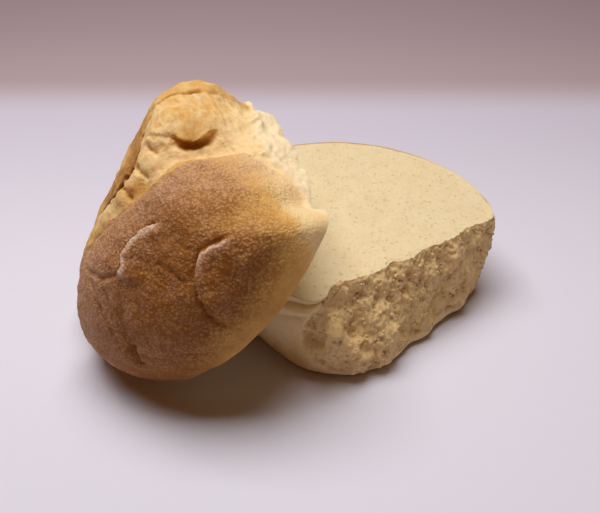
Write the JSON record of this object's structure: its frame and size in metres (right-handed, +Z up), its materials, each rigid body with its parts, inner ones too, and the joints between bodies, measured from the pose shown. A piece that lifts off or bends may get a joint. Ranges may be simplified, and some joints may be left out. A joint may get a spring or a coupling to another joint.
{
  "type": "bread roll",
  "caption": "Soft white bread roll pulled from its neighbour along one side and sliced in two, the crusty upper half leaning on the lower half.",
  "frame": {"origin": "the middle of the bounding box at the floor that both halves rest on", "axes": "+Z up; +X along the longest extent, from the leaning upper half towards the lower half; +Y away from the lower half's torn side"},
  "size_m": [0.1492, 0.1318, 0.0796],
  "materials": {
    "crumb": "matte cream crumb, soft and full of fine pores",
    "crust": "matte golden brown crust dusted with flour"
  },
  "bodies": {
    "root": {"lower_half": "crumb", "upper_half": "crust"}
  },
  "joints": []
}
